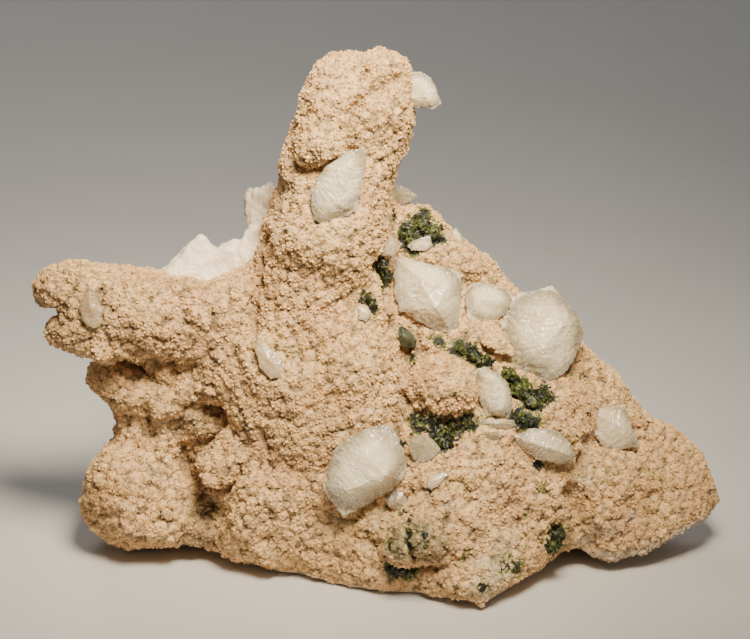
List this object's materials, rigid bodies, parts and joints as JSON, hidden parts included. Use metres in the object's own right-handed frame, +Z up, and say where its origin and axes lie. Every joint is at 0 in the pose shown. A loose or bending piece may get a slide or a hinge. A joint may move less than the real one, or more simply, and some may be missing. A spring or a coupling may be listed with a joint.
{
  "type": "dolomite specimen",
  "caption": "Spired, armed crag crusted in fine tan dolomite, set with milky calcite crystals, small green crusts and a broken white ledge, on a flat cut base.",
  "frame": {"origin": "middle of the flat cut that the rock rests on, about under the middle of its length", "axes": "+X runs along the specimen from the arm's side to the right lobe's, +Z up the spire, and the crystal-bearing front faces -Y"},
  "size_m": [0.121, 0.0522, 0.0918],
  "materials": {
    "dolomite": "matte",
    "calcite": "satin",
    "broken_white": "matte",
    "green_crust": "satin",
    "dark_crystal": "satin"
  },
  "bodies": {
    "root": {"dolomite_rock": "dolomite", "white_broken_ledge": "broken_white", "calcite_spire_top": "calcite", "calcite_spire_face": "calcite", "calcite_behind_spire": "calcite", "calcite_spire_foot": "calcite", "calcite_upper_slope": "calcite", "calcite_middle_slope": "calcite", "calcite_large_slope": "calcite", "calcite_blade": "calcite", "calcite_blade_foot": "calcite", "calcite_lens": "calcite", "calcite_rhomb": "calcite", "calcite_large_front": "calcite", "calcite_chip": "calcite", "calcite_button": "calcite", "calcite_cream_grain": "calcite", "calcite_arm_plate": "calcite", "calcite_cheek_plate": "calcite", "calcite_twin_grains": "calcite", "calcite_ridge_chip": "calcite", "calcite_sprig": "calcite", "calcite_clear_bead": "calcite", "dark_crystal": "dark_crystal", "green_crust_upper": "green_crust", "green_crust_crevice": "green_crust", "green_crust_beads": "green_crust", "green_crust_band": "green_crust", "green_crust_right": "green_crust", "green_crust_under_blade": "green_crust", "green_crust_hollow": "green_crust", "green_crust_edge": "green_crust", "green_crust_under_lump": "green_crust"}
  },
  "joints": []
}
